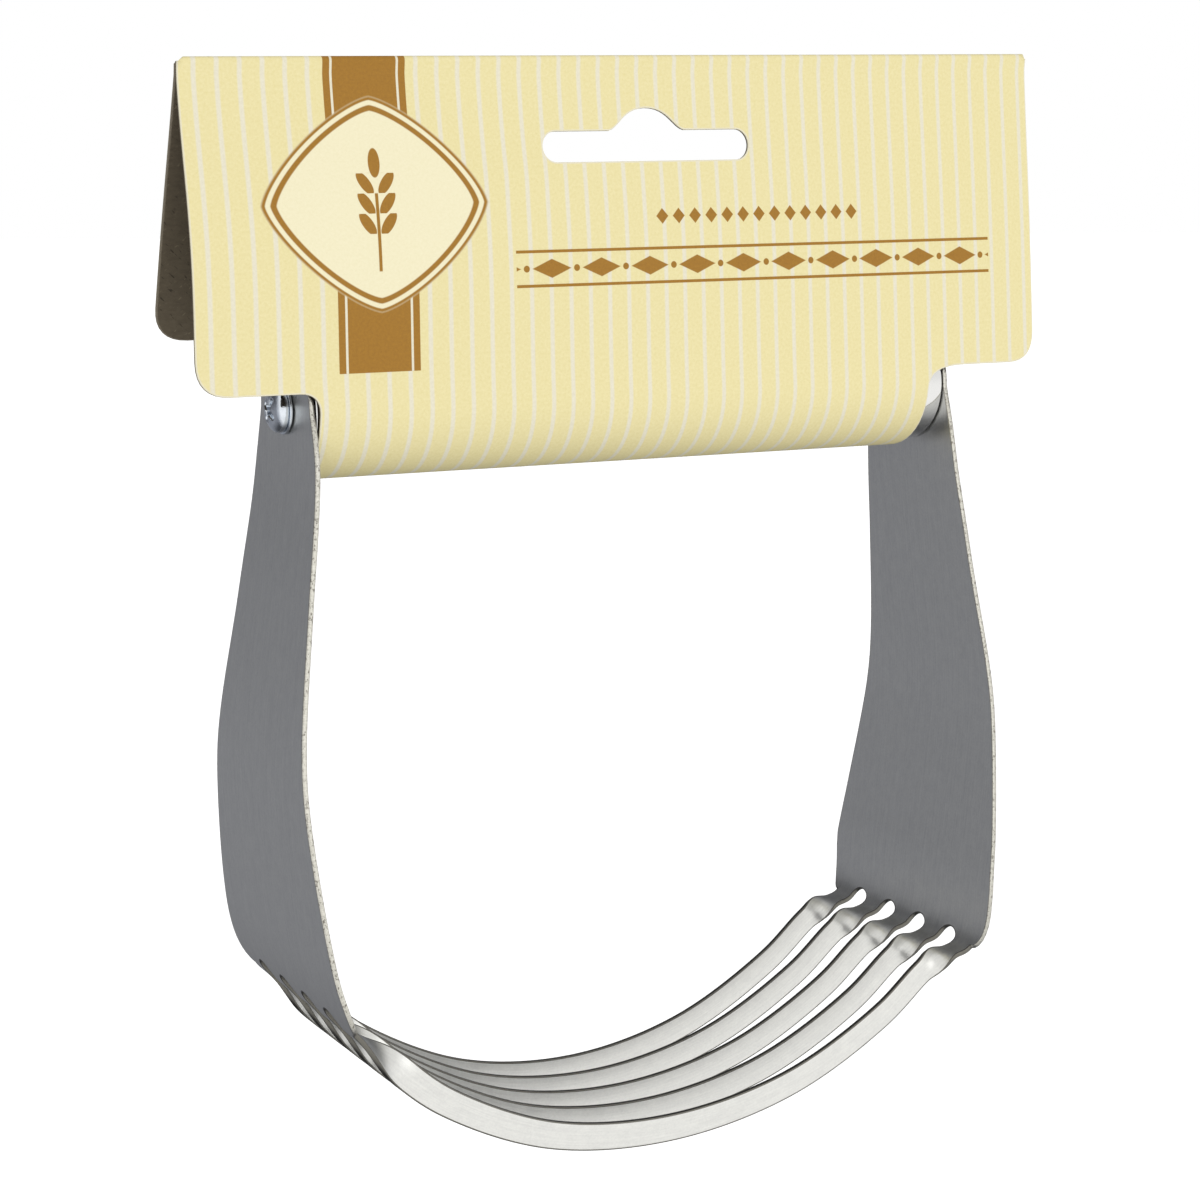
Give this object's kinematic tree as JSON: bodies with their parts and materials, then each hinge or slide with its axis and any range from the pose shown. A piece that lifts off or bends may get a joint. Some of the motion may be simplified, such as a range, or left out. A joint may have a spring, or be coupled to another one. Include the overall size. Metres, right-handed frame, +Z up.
{
  "type": "pastry blender",
  "caption": "Hand pastry blender of bowed parallel steel blades on a tube handle, hanging in its folded board shop card with a peg slot.",
  "frame": {"origin": "the point on a shop peg that carries the part: middle of the upper edge of the card's hang slot", "axes": "+X along the handle to the right as seen from the front, +Y from the front of the card to its back, +Z up"},
  "size_m": [0.13, 0.0386, 0.1527],
  "materials": {
    "brushed_sheet": "satin, brushed up and down the arms, with bright cut edges",
    "polished_tube": "mirror polished",
    "plug_metal": "turned",
    "screw_plating": "bright plated, slightly blue",
    "washer_plating": "bright plated",
    "printed_board": "uncoated print, cream with fine off-white stripes, grey-brown board inside"
  },
  "bodies": {
    "card": {"hang_card": "printed_board"},
    "tool": {"blade_frame": "brushed_sheet", "handle_tube": "polished_tube", "left_end_plug": "plug_metal", "right_end_plug": "plug_metal", "left_screw": "screw_plating", "right_screw": "screw_plating", "left_washer": "washer_plating", "right_washer": "washer_plating"}
  },
  "joints": [
    {"name": "tool_swing", "type": "hinge", "parent": "card", "child": "tool", "pos_m": [0, 0.004, -0.0386], "axis": [1, 0, 0], "range_deg": [-16, 78]}
  ]
}
